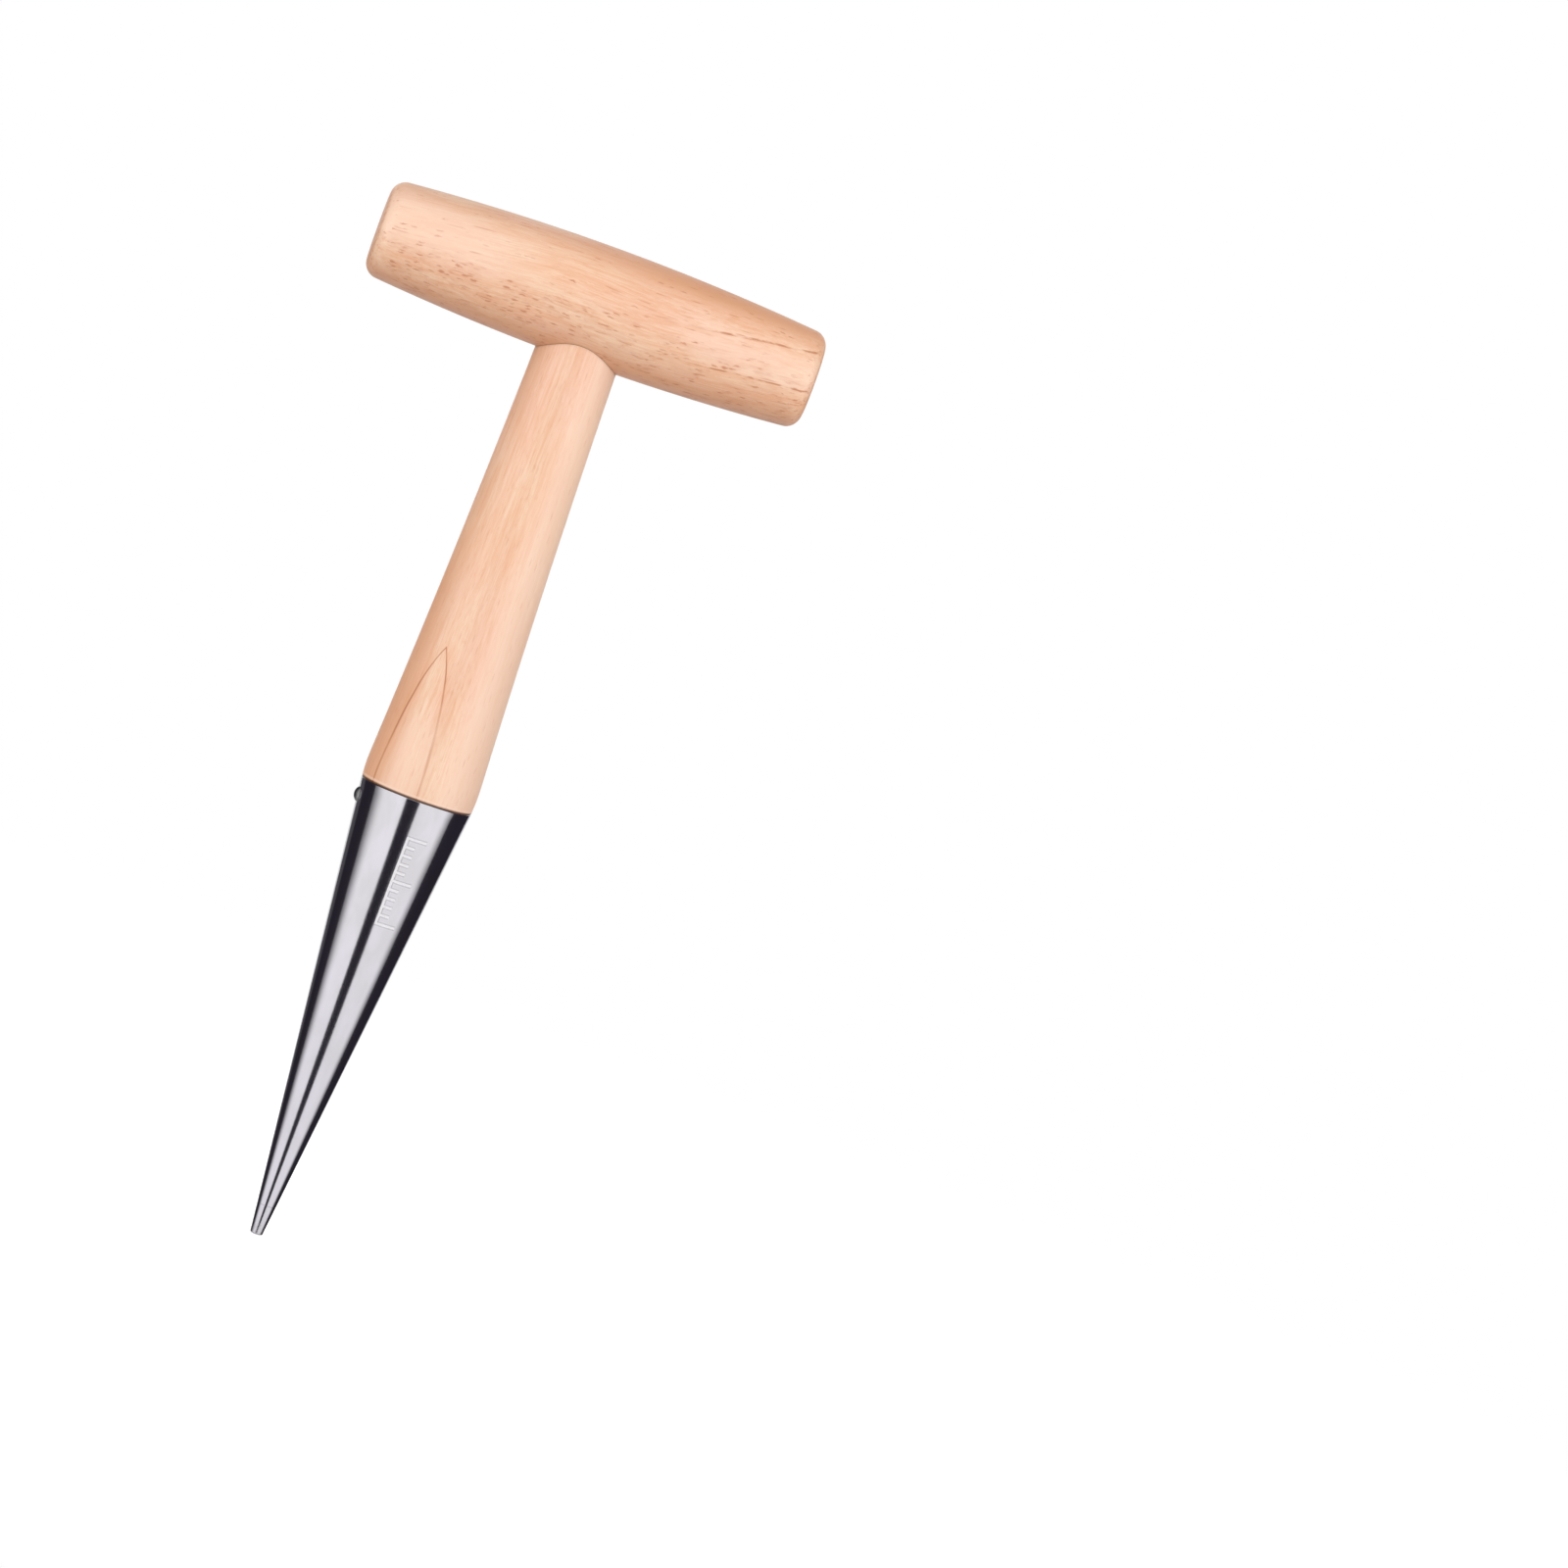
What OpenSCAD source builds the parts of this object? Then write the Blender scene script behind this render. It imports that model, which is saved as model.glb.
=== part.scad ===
// T-handled garden dibber: a hand tool that presses planting holes for bulbs and seedlings.
// A turned wooden shaft joins a barrel-shaped crossbar to a hollow, pointed steel cone.
// The origin is the centre of the blunt point, +Z runs up the shaft and +X along the crossbar.

/* [Overall] */
// Height from the point to the top of the crossbar
total_h = 280; // [270:1:300]

/* [Crossbar] */
// Length of the crossbar
bar_len = 122.4; // [110:0.1:140]
// Diameter at its middle
bar_d = 31.8; // [30:0.1:34]
// Diameter that its barrel curve has come down to at the ends
bar_end_d = 26.1; // [24:0.1:28]
// Radius that rounds its end corners
bar_corner_r = 4.2; // [2:0.1:6]

/* [Shaft] */
// Largest diameter, at the rounded shoulder above the steel rim
shoulder_d = 31.2; // [30.9:0.1:31.6]
// Height of that widest place above the rim
shoulder_h = 4.6; // [4:0.1:6]
// Radius of the shoulder's outline
shoulder_r = 50; // [40:1:60]
// Radius of the long hollow curve between the shoulder and the crossbar
hollow_r = 4000; // [3000:100:8000]
// Diameter where the shaft enters the crossbar
neck_d = 22.7; // [20:0.1:24]
// How far the end of the shaft goes into the crossbar
tenon_len = 19.3; // [15:0.1:22]
// How far the spigot at the foot reaches down inside the cone
spigot_len = 40; // [30:1:55]

/* [Cone] */
// Height of the rim above the point
rim_h = 125; // [115:0.1:130]
// Outer diameter at the rim
rim_d = 31; // [30.6:0.1:31.2]
// Diameter of the blunt end of the point
point_d = 3.4; // [3:0.1:5]
// Length of the solid point that closes the small end
point_len = 8.2; // [7:0.1:12]
// Thickness of the rolled sheet
sheet_t = 1; // [0.8:0.1:1.2]

/* [Pin] */
// Diameter of the domed head
head_d = 4; // [3.4:0.1:5]
// Height of the head above the steel
head_h = 1.15; // [0.9:0.05:1.4]
// Diameter of the shank
shank_d = 2; // [1.6:0.1:2.4]
// Length of the shank under the head
shank_len = 12; // [9:0.5:13]
// Distance of the head's centre below the rim
pin_drop = 4.7; // [4:0.1:8]
// Direction of the pin round the shaft, where 180 is under the crossbar's -X end
pin_turn = 190; // [170:1:200]

/* [Fits] */
// Thickness of the cured glue round the tenon
glue_t = 0.12; // [0.1:0.01:0.2]
// Depth of the glue that fills the blind end of the bore
glue_end_t = 0.8; // [0.5:0.1:1.5]
// Gap all round between the spigot and the inside of the cone
spigot_gap = 0.05; // [0.02:0.01:0.1]
// Gap all round between the pin's shank and the hole in the sheet
hole_gap = 0.1; // [0.05:0.05:0.2]

/* [Hidden] */
$fn = 96;

wood = "burlywood";
steel = "silver";

// Small clearance that carries a cutting shape past the face that it cuts
over = 1;

// Straight steps that follow a curved outline
barrel_steps = 28;
corner_steps = 9;
shoulder_steps = 10;
hollow_steps = 24;
dome_steps = 8;

// Crossbar: its outline is an arc, and a smaller arc tangent to it and to the flat end
bar_z = total_h - bar_d / 2;
bar_under_z = total_h - bar_d;
half_len = bar_len / 2;
barrel_sag = (bar_d - bar_end_d) / 2;
barrel_r = (half_len * half_len + barrel_sag * barrel_sag) / (2 * barrel_sag);
barrel_y = bar_d / 2 - barrel_r;
corner_x = half_len - bar_corner_r;
corner_y = barrel_y + sqrt(pow(barrel_r - bar_corner_r, 2) - corner_x * corner_x);
barrel_end_turn = atan2(corner_x, corner_y - barrel_y);

// Tenon and the blind bore that it is glued into
bore_d = neck_d + 2 * glue_t;
tenon_top = bar_under_z + tenon_len;
bore_top = tenon_top + glue_end_t;
tenon_chamfer = 1;

// Cone: a straight taper, thinner inwards by the sheet's thickness measured level
rim_r = rim_d / 2;
point_r = point_d / 2;
cone_slope = (rim_r - point_r) / rim_h;
cone_turn = atan(cone_slope);
wall = sheet_t / cos(cone_turn);
rim_chamfer = 0.25;
function cone_r(z) = point_r + cone_slope * z;
function inside_r(z) = cone_r(z) - wall;

// Solid point: its stub fits in the mouth of the rolled sheet
point_round = 0.4;
stub_len = 3;
stub_r = inside_r(point_len);

// Spigot at the foot of the shaft, which follows the inside of the cone
spigot_z = rim_h - spigot_len;
spigot_chamfer = 1.5;
function spigot_r(z) = inside_r(z) - spigot_gap;

// Shaft outline: [radius, height] centres of the shoulder's arc and of the hollow arc that touches it
shoulder_c = [shoulder_d / 2 - shoulder_r, rim_h + shoulder_h];
neck_p = [neck_d / 2, bar_under_z];
hollow_c = outer_meet(shoulder_c, shoulder_r + hollow_r, neck_p, hollow_r);
blend_p = shoulder_c + (hollow_c - shoulder_c) * shoulder_r / (shoulder_r + hollow_r);

// Pin: rings under its head point back up the shank, so that it holds in the wood
shank_r = shank_d / 2;
ring_pitch = 1;
ring_rise = 0.15;
first_ring = 2.5;
pin_point_len = 2;
ring_count = floor((shank_len - first_ring - pin_point_len) / ring_pitch);
head_edge = 0.25;
head_skirt = 0.6;
dome_h = head_h - head_edge;
dome_r = (pow(head_d / 2, 2) + dome_h * dome_h) / (2 * dome_h);
dome_turn = asin(head_d / 2 / dome_r);
pin_z = rim_h - pin_drop;

// Where two circles meet, on the side that is further from the axis
function outer_meet(c1, r1, c2, r2) =
    let (d = norm(c2 - c1))
    let (along = (c2 - c1) / d)
    let (a = (r1 * r1 - r2 * r2 + d * d) / (2 * d))
    let (h = sqrt(r1 * r1 - a * a))
    c1 + a * along + h * [along[1], -along[0]];

// Radius of the shaft's side at a height above the rim
function shoulder_at(z) = shoulder_c[0] + sqrt(pow(shoulder_r, 2) - pow(z - shoulder_c[1], 2));
function hollow_at(z) = hollow_c[0] - sqrt(pow(hollow_r, 2) - pow(z - hollow_c[1], 2));

// A value that goes in equal steps from one end to the other
function step_to(from, to, i, steps) = from + (to - from) * i / steps;

// Points of an arc as [distance from the axis, distance along it], turned from the outward direction
function arc(c, r, from, to, steps) =
    [for (i = [0 : steps]) let (a = step_to(from, to, i, steps)) c + r * [cos(a), sin(a)]];

// Half outline of the crossbar, from the -X end to the +X end
function bar_outline() = concat(
    [[0, -half_len]],
    arc([corner_y, -corner_x], bar_corner_r, -90, -barrel_end_turn, corner_steps),
    arc([barrel_y, 0], barrel_r, -barrel_end_turn, barrel_end_turn, barrel_steps),
    arc([corner_y, corner_x], bar_corner_r, barrel_end_turn, 90, corner_steps),
    [[0, half_len]]
);

// Half outline of the shaft, from the bottom of the spigot to the top of the tenon
function shaft_outline() = concat(
    [[0, spigot_z]],
    [[spigot_r(spigot_z) - spigot_chamfer, spigot_z]],
    [[spigot_r(spigot_z + spigot_chamfer), spigot_z + spigot_chamfer]],
    [[spigot_r(rim_h), rim_h]],
    [for (i = [0 : shoulder_steps])
        let (z = step_to(rim_h, blend_p[1], i, shoulder_steps)) [shoulder_at(z), z]],
    [for (i = [1 : hollow_steps])
        let (z = step_to(blend_p[1], bar_under_z, i, hollow_steps)) [hollow_at(z), z]],
    [[neck_p[0], tenon_top - tenon_chamfer]],
    [[neck_p[0] - tenon_chamfer, tenon_top]],
    [[0, tenon_top]]
);

// Half outline of the pin's shank, from its sharp end up into the head
function shank_outline() = concat(
    [[0, -shank_len]],
    [[shank_r, pin_point_len - shank_len]],
    [for (i = [ring_count - 1 : -1 : 0])
        let (z = -first_ring - i * ring_pitch)
        each [[shank_r, z - ring_pitch * 0.8], [shank_r + ring_rise, z], [shank_r, z]]],
    [[shank_r, head_edge], [0, head_edge]]
);

// Half outline of the pin's domed head, with a skirt that is trimmed to the cone
function head_outline() = concat(
    [[0, -head_skirt], [head_d / 2, -head_skirt]],
    arc([0, head_h - dome_r], dome_r, 90 - dome_turn, 90, dome_steps)
);

// Turns a half outline into a solid of revolution about Z
module turned(outline) {
    rotate_extrude()
        polygon(outline);
}

// Solid barrel of the crossbar, lying along X
module bar_solid() {
    translate([0, 0, bar_z])
        rotate([0, 90, 0])
            turned(bar_outline());
}

// The blind bore's space, open downwards
module bore_space() {
    translate([0, 0, bar_under_z - over])
        cylinder(h = bore_top - bar_under_z + over, d = bore_d);
}

// Everything inside the outer surface of the steel, past both ends
module cone_space() {
    translate([0, 0, -over])
        cylinder(h = rim_h + 2 * over, r1 = cone_r(-over), r2 = cone_r(rim_h + over));
}

// Puts a shape that points outwards along +Z at the pin's place, square to the cone's surface
module at_pin() {
    rotate([0, 0, pin_turn])
        translate([cone_r(pin_z), 0, pin_z])
            rotate([0, 90 + cone_turn, 0])
                children();
}

// Gripped crossbar: a turned barrel with rounded ends and a blind bore under its middle
module crossbar() {
    color(wood)
        difference() {
            bar_solid();
            bore_space();
        }
}

// Cured glue that fills the bore round and above the tenon, flush with the crossbar's underside
module crossbar_glue() {
    color("wheat")
        intersection() {
            bar_solid();
            difference() {
                bore_space();
                turned(shaft_outline());
            }
        }
}

// Turned shaft: tenon, neck, hollow side, shoulder on the steel rim, spigot, and the pin's hole
module shaft() {
    color(wood)
        difference() {
            turned(shaft_outline());
            at_pin()
                turned(shank_outline());
        }
}

// Rolled and seam-welded sheet, open at both ends, with a hole for the pin
module cone() {
    color(steel)
        difference() {
            turned([
                [inside_r(point_len), point_len],
                [cone_r(point_len), point_len],
                [cone_r(rim_h - rim_chamfer), rim_h - rim_chamfer],
                [cone_r(rim_h) - rim_chamfer, rim_h],
                [inside_r(rim_h), rim_h]
            ]);
            at_pin()
                translate([0, 0, -sheet_t - over])
                    cylinder(h = sheet_t + 2 * over, r = shank_r + hole_gap);
        }
}

// Solid blunt point, welded into the small end of the cone
module cone_tip() {
    color(steel)
        turned([
            [0, 0],
            [point_r - point_round, 0],
            [cone_r(point_round), point_round],
            [cone_r(point_len), point_len],
            [stub_r, point_len],
            [stub_r, point_len + stub_len],
            [0, point_len + stub_len]
        ]);
}

// Ring-shank pin with a domed head, driven through the sheet into the spigot
module cone_pin() {
    color(steel)
        union() {
            difference() {
                at_pin()
                    turned(head_outline());
                cone_space();
            }
            at_pin()
                turned(shank_outline());
        }
}

crossbar();
crossbar_glue();
shaft();
cone();
cone_tip();
cone_pin();
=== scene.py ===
"""The looks of a garden dibber: a turned wooden T handle on a hollow steel cone with a solid point.

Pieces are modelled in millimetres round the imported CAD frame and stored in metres. The tool stands on its
point at the origin, +Z runs up the shaft and +X along the crossbar, and the camera looks from the -Y side.
"""

import math

import bmesh
import bpy
from mathutils import Matrix, Vector


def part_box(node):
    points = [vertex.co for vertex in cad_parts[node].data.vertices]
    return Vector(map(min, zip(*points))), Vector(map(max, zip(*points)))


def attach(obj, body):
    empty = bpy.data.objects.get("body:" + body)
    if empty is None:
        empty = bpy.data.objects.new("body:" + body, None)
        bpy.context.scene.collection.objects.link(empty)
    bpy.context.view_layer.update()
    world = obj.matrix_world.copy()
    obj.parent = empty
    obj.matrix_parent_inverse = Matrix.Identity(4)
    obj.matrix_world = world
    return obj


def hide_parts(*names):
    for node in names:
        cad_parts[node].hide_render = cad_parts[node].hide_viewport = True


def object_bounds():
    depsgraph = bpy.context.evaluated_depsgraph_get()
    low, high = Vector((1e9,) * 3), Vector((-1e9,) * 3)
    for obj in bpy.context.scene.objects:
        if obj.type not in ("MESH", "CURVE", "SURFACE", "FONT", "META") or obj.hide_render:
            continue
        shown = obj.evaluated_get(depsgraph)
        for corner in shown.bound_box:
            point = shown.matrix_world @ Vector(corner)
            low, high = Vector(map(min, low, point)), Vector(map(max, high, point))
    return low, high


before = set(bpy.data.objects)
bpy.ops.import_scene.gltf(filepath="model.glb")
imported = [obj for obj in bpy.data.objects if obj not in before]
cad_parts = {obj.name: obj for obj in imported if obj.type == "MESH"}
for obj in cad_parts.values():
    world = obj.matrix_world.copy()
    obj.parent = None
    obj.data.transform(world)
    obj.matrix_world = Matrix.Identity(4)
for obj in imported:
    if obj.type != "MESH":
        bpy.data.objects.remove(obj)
cad_low, cad_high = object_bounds()

MM = 0.001

# Straight steps that follow a full turn, and each curved or long stretch of an outline
ROUND_STEPS = 192
PIN_STEPS = 96
SHANK_STEPS = 48
HOLE_STEPS = 32
BARREL_STEPS = 110
HOLLOW_STEPS = 60
CONE_STEPS = 60
INSIDE_STEPS = 30
SPIGOT_STEPS = 24
SHOULDER_STEPS = 20
CORNER_STEPS = 14
SHORT_STEPS = 12
EDGE_STEPS = 8
RIM_STEPS = 6

# How far a cutting shape reaches past the face that it cuts, in millimetres
OVER = 2.0


# ---------------------------------------------------------------- sizes, from the frame, in millimetres

def box_mm(node):
    """Lowest and highest corner of a CAD node, in millimetres."""
    low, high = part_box(node)
    return low / MM, high / MM


bar_high = box_mm("crossbar")[1]
glue_high = box_mm("crossbar_glue")[1]
shaft_low, shaft_high = box_mm("shaft")
cone_low, cone_high = box_mm("cone")
tip_high = box_mm("cone_tip")[1]

# Crossbar: a barrel arc, with a smaller arc tangent to it and to each flat end
half_len = bar_high.x
bar_r = bar_high.y
bar_z = bar_high.z - bar_r
bar_under_z = bar_z - bar_r
bar_sag = 2.85
bar_corner_r = 4.2
barrel_r = (half_len ** 2 + bar_sag ** 2) / (2 * bar_sag)
barrel_y = bar_r - barrel_r
corner_x = half_len - bar_corner_r
corner_y = barrel_y + math.sqrt((barrel_r - bar_corner_r) ** 2 - corner_x ** 2)
barrel_end_turn = math.degrees(math.atan2(corner_x, corner_y - barrel_y))
bore_r = glue_high.x
bore_top = glue_high.z

# Cone: a straight taper of rolled sheet
point_len = cone_low.z
rim_h = cone_high.z
sheet_t = 1.0
rim_round = 0.25
cone_slope = (cone_high.x - tip_high.x) / (rim_h - rim_round - point_len)
cone_turn = math.atan(cone_slope)
wall = sheet_t / math.cos(cone_turn)
tip_round = 0.4
joint_bevel = 0.07

# Seam weld down the back of the cone: its direction from +X, and its low bead
seam_turn = math.radians(82)
seam_half_w = 0.9
seam_h = 0.03


def cone_r(z):
    """Outer radius of the steel at a height."""
    return tip_high.x + cone_slope * (z - point_len)


def inside_r(z):
    """Radius of the hollow in the steel at a height."""
    return cone_r(z) - wall


# Shaft: tenon, neck, hollow side, shoulder on the rim, and a spigot inside the cone
glue_t = 0.12
neck_r = bore_r - glue_t
tenon_top = shaft_high.z
spigot_z = shaft_low.z
spigot_gap = 0.05
spigot_chamfer = 1.5
tenon_chamfer = 1.0
shoulder_r = 50.0
shoulder_h = 4.6
hollow_r = 4000.0
foot_round = 0.55

# Pin: its place on the cone and its sizes
pin_turn = math.radians(190)
pin_drop = 4.7
pin_z = rim_h - pin_drop
pin_head_r = 2.0
pin_head_h = 1.15
pin_shank_r = 1.0
pin_shank_len = 12.0
pin_point_len = 2.0
pin_hole_gap = 0.1


# ---------------------------------------------------------------- mesh helpers

def arc(centre, radius, start, stop, steps):
    """Points of an arc, as (distance from the axis, distance along it), turned from outward, in degrees."""
    turns = [math.radians(start + (stop - start) * i / steps) for i in range(steps + 1)]
    return [(centre[0] + radius * math.cos(t), centre[1] + radius * math.sin(t)) for t in turns]


def line(start, stop, steps):
    """Equal steps from one point to another, both included."""
    shares = [i / steps for i in range(steps + 1)]
    return [(start[0] + (stop[0] - start[0]) * s, start[1] + (stop[1] - start[1]) * s) for s in shares]


def lathe(outline, steps=ROUND_STEPS, swell=None):
    """Vertices and faces of a shape turned about +Z. An outline that begins and ends on the axis closes
    there; any other outline is a ring that closes on itself. swell(turn, z) adds to the radius."""
    vertices, rings = [], []
    on_axis = 1e-6
    for radius, z in outline:
        first = len(vertices)
        count = 1 if radius < on_axis else steps
        for i in range(count):
            turn = 2 * math.pi * i / steps
            r = radius + (swell(turn, z) if swell and count > 1 else 0)
            vertices.append((r * math.cos(turn), r * math.sin(turn), z))
        rings.append([first + i % count for i in range(steps)] if count > 1 else [first])
    pairs = list(zip(rings[:-1], rings[1:]))
    if len(rings[0]) > 1:
        pairs.append((rings[-1], rings[0]))
    faces = []
    for low, high in pairs:
        for i in range(steps):
            j = (i + 1) % steps
            if len(low) == 1:
                faces.append((low[0], high[j], high[i]))
            elif len(high) == 1:
                faces.append((low[i], low[j], high[0]))
            else:
                faces.append((low[i], low[j], high[j], high[i]))
    return vertices, faces


def make_piece(name, vertices, faces, place=Matrix.Identity(4)):
    """A mesh object in the frame, from millimetres, moved by place."""
    mesh = bpy.data.meshes.new(name)
    mesh.from_pydata([place @ Vector(v) * MM for v in vertices], [], faces)
    mesh.validate()
    piece = bpy.data.objects.new(name, mesh)
    bpy.context.scene.collection.objects.link(piece)
    return piece


def clean(mesh, gap=0.002):
    """Joins vertices that are closer than the gap in mm, and takes out the slivers that a cut leaves."""
    shape = bmesh.new()
    shape.from_mesh(mesh)
    bmesh.ops.remove_doubles(shape, verts=shape.verts, dist=gap * MM)
    bmesh.ops.dissolve_degenerate(shape, edges=shape.edges, dist=gap * MM)
    shape.to_mesh(mesh)
    shape.free()


def combine(piece, other, operation):
    """Takes the other's space out of the piece, or joins the two to one shell, and removes the other."""
    modifier = piece.modifiers.new("combine", "BOOLEAN")
    modifier.operation = operation
    modifier.solver = "EXACT"
    modifier.object = other
    bpy.context.view_layer.update()
    shaped = piece.evaluated_get(bpy.context.evaluated_depsgraph_get())
    piece.data = bpy.data.meshes.new_from_object(shaped)
    piece.modifiers.clear()
    bpy.data.objects.remove(other)
    clean(piece.data)


def smooth(piece, sharp_angle=32):
    """Smooth shading, with edges left sharp where the surface turns by more than the angle."""
    piece.data.polygons.foreach_set("use_smooth", [True] * len(piece.data.polygons))
    piece.data.set_sharp_from_angle(angle=math.radians(sharp_angle))


def finish_piece(piece, node, material):
    """Gives a piece its material and its place in the frame."""
    smooth(piece)
    piece.data.materials.clear()
    piece.data.materials.append(material)
    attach(piece, "root")
    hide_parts(node)


# ---------------------------------------------------------------- outlines

def outer_meet(c1, r1, c2, r2):
    """Where two circles meet, on the side further from the axis."""
    gap = math.dist(c1, c2)
    along = ((c2[0] - c1[0]) / gap, (c2[1] - c1[1]) / gap)
    a = (r1 * r1 - r2 * r2 + gap * gap) / (2 * gap)
    h = math.sqrt(r1 * r1 - a * a)
    return c1[0] + a * along[0] + h * along[1], c1[1] + a * along[1] - h * along[0]


def bar_outline():
    """Half outline of the crossbar, from its -X end to its +X end."""
    low_corner = arc((corner_y, -corner_x), bar_corner_r, -90, -barrel_end_turn, CORNER_STEPS)
    barrel = arc((barrel_y, 0), barrel_r, -barrel_end_turn, barrel_end_turn, BARREL_STEPS)
    high_corner = arc((corner_y, corner_x), bar_corner_r, barrel_end_turn, 90, CORNER_STEPS)
    return [(0, -half_len)] + low_corner + barrel[1:-1] + high_corner + [(0, half_len)]


def side_outline():
    """Visible side of the shaft, from the rim up to the crossbar."""
    widest = (shaft_high.x - shoulder_r, rim_h + shoulder_h)
    neck = (neck_r, bar_under_z)
    hollow = outer_meet(widest, shoulder_r + hollow_r, neck, hollow_r)
    share = shoulder_r / (shoulder_r + hollow_r)
    blend_z = widest[1] + (hollow[1] - widest[1]) * share
    foot_z = rim_h + foot_round
    side = []
    for i in range(SHOULDER_STEPS + 1):
        z = foot_z + (blend_z - foot_z) * i / SHOULDER_STEPS
        side.append((widest[0] + math.sqrt(shoulder_r ** 2 - (z - widest[1]) ** 2), z))
    for i in range(1, HOLLOW_STEPS + 1):
        z = blend_z + (bar_under_z - blend_z) * i / HOLLOW_STEPS
        side.append((hollow[0] - math.sqrt(hollow_r ** 2 - (z - hollow[1]) ** 2), z))
    return side


def shaft_outline():
    """Half outline of the shaft, from the foot of its spigot to the top of its tenon."""
    low_z = spigot_z + spigot_chamfer
    low = (inside_r(low_z) - spigot_gap, low_z)
    high = (inside_r(rim_h) - spigot_gap, rim_h)
    end = [(0, spigot_z), (inside_r(spigot_z) - spigot_gap - spigot_chamfer, spigot_z)]
    spigot = end + line(low, high, SPIGOT_STEPS)
    side = side_outline()
    foot = arc((side[0][0] - foot_round, rim_h + foot_round), foot_round, -90, 0, EDGE_STEPS)
    tenon = line(side[-1], (neck_r, tenon_top - tenon_chamfer), SHORT_STEPS)[1:]
    return spigot + foot + side[1:] + tenon + [(neck_r - tenon_chamfer, tenon_top), (0, tenon_top)]


def cone_outline():
    """Outline of the steel sheet: up the outside, over the rounded rim and down the inside."""
    top, low = rim_h - rim_round, point_len + joint_bevel
    outside = line((cone_r(low), low), (cone_r(top), top), CONE_STEPS)
    rim = arc((cone_r(top) - rim_round, top), rim_round, 0, 90, RIM_STEPS)
    inside = line((inside_r(rim_h), rim_h), (inside_r(point_len), point_len), INSIDE_STEPS)
    return outside + rim[1:] + inside + [(cone_r(point_len) - joint_bevel, point_len)]


def tip_outline():
    """Half outline of the solid point, with its stub inside the cone."""
    stub_r, top = inside_r(point_len), point_len - joint_bevel
    end = arc((cone_r(tip_round) - tip_round, tip_round), tip_round, -90, 0, EDGE_STEPS)
    side = line(end[-1], (cone_r(top), top), SHORT_STEPS)[1:]
    neck = [(cone_r(point_len) - joint_bevel, point_len), (stub_r, point_len)]
    return [(0, 0)] + end + side + neck + [(stub_r, tip_high.z), (0, tip_high.z)]


def shank_outline(first_ring=2.5, pitch=1.0, ring_len=0.8, rise=0.15, into_head=0.2):
    """Half outline of the pin's shank: a sharp end, then rings that widen towards the head."""
    outline = [(0, -pin_shank_len), (pin_shank_r, pin_point_len - pin_shank_len)]
    count = int((pin_shank_len - first_ring - pin_point_len) / pitch)
    for i in reversed(range(count)):
        z = -first_ring - i * pitch
        outline += [(pin_shank_r, z - ring_len), (pin_shank_r + rise, z), (pin_shank_r, z)]
    return outline + [(pin_shank_r, into_head), (0, into_head)]


def head_outline(edge=0.25, bevel=0.06, lip=0.05):
    """Half outline of the pin's head: a short bevelled edge under a dome, with a narrow lip between."""
    dome_h = pin_head_h - edge
    dome_r = (pin_head_r ** 2 + dome_h ** 2) / (2 * dome_h)
    dome_turn = math.degrees(math.asin(pin_head_r / dome_r))
    dome = arc((0, pin_head_h - dome_r), dome_r, 90 - dome_turn, 90, CORNER_STEPS)
    under = line((0, 0), (pin_head_r - bevel, 0), RIM_STEPS)
    side = [(pin_head_r, bevel), (pin_head_r, edge - lip)]
    return under + side + dome[1:-1] + [(0, pin_head_h)]


# ---------------------------------------------------------------- pieces

def pin_place():
    """Turns +Z to the cone's outward normal, at the pin's place."""
    turn = Matrix.Rotation(pin_turn, 4, "Z")
    lean = Matrix.Rotation(math.pi / 2 + cone_turn, 4, "Y")
    return turn @ Matrix.Translation((cone_r(pin_z), 0, pin_z)) @ lean


def make_crossbar():
    """The gripped barrel, lying along X, with the bore for the tenon."""
    lay = Matrix.Translation((0, 0, bar_z)) @ Matrix.Rotation(math.pi / 2, 4, "Y")
    bar = make_piece("crossbar_barrel", *lathe(bar_outline()), lay)
    start = bar_under_z - OVER
    bore = [(0, start), (bore_r, start), (bore_r, bore_top), (0, bore_top)]
    combine(bar, make_piece("bore", *lathe(bore)), "DIFFERENCE")
    return bar


def make_shaft():
    """The turned shaft, with the hole that the pin is driven into."""
    shaft = make_piece("shaft_turned", *lathe(shaft_outline()))
    hole = make_piece("pin_hole", *lathe(shank_outline(), HOLE_STEPS), pin_place())
    combine(shaft, hole, "DIFFERENCE")
    return shaft


def seam(turn, z):
    """How far a low weld bead down the back of the cone stands out, at a turn and a height."""
    across = (turn - seam_turn) * cone_r(z) / seam_half_w
    return seam_h * math.exp(-across * across)


def make_cone():
    """The rolled sheet, with its seam at the back and the pin's hole."""
    cone = make_piece("cone_sheet", *lathe(cone_outline(), 2 * ROUND_STEPS, seam))
    hole_r = pin_shank_r + pin_hole_gap
    drill = [(0, -OVER), (hole_r, -OVER), (hole_r, OVER / 2), (0, OVER / 2)]
    combine(cone, make_piece("sheet_hole", *lathe(drill, SHANK_STEPS), pin_place()), "DIFFERENCE")
    return cone


def make_tip():
    """The solid blunt point that closes the small end of the cone."""
    return make_piece("cone_point", *lathe(tip_outline()))


def make_pin():
    """Ring-shank pin. The underside of its head is bent to lie on the cone."""
    head, head_faces = lathe(head_outline(), PIN_STEPS)
    bent = []
    for x, y, z in head:
        lie = y * y / (2 * cone_r(pin_z))
        share = max(0.0, 1 - z / pin_head_h)
        bent.append((x, y, z - lie * share))
    pin = make_piece("pin_domed", bent, head_faces, pin_place())
    combine(pin, make_piece("shank", *lathe(shank_outline(), SHANK_STEPS), pin_place()), "UNION")
    return pin


# ---------------------------------------------------------------- material helpers

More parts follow.
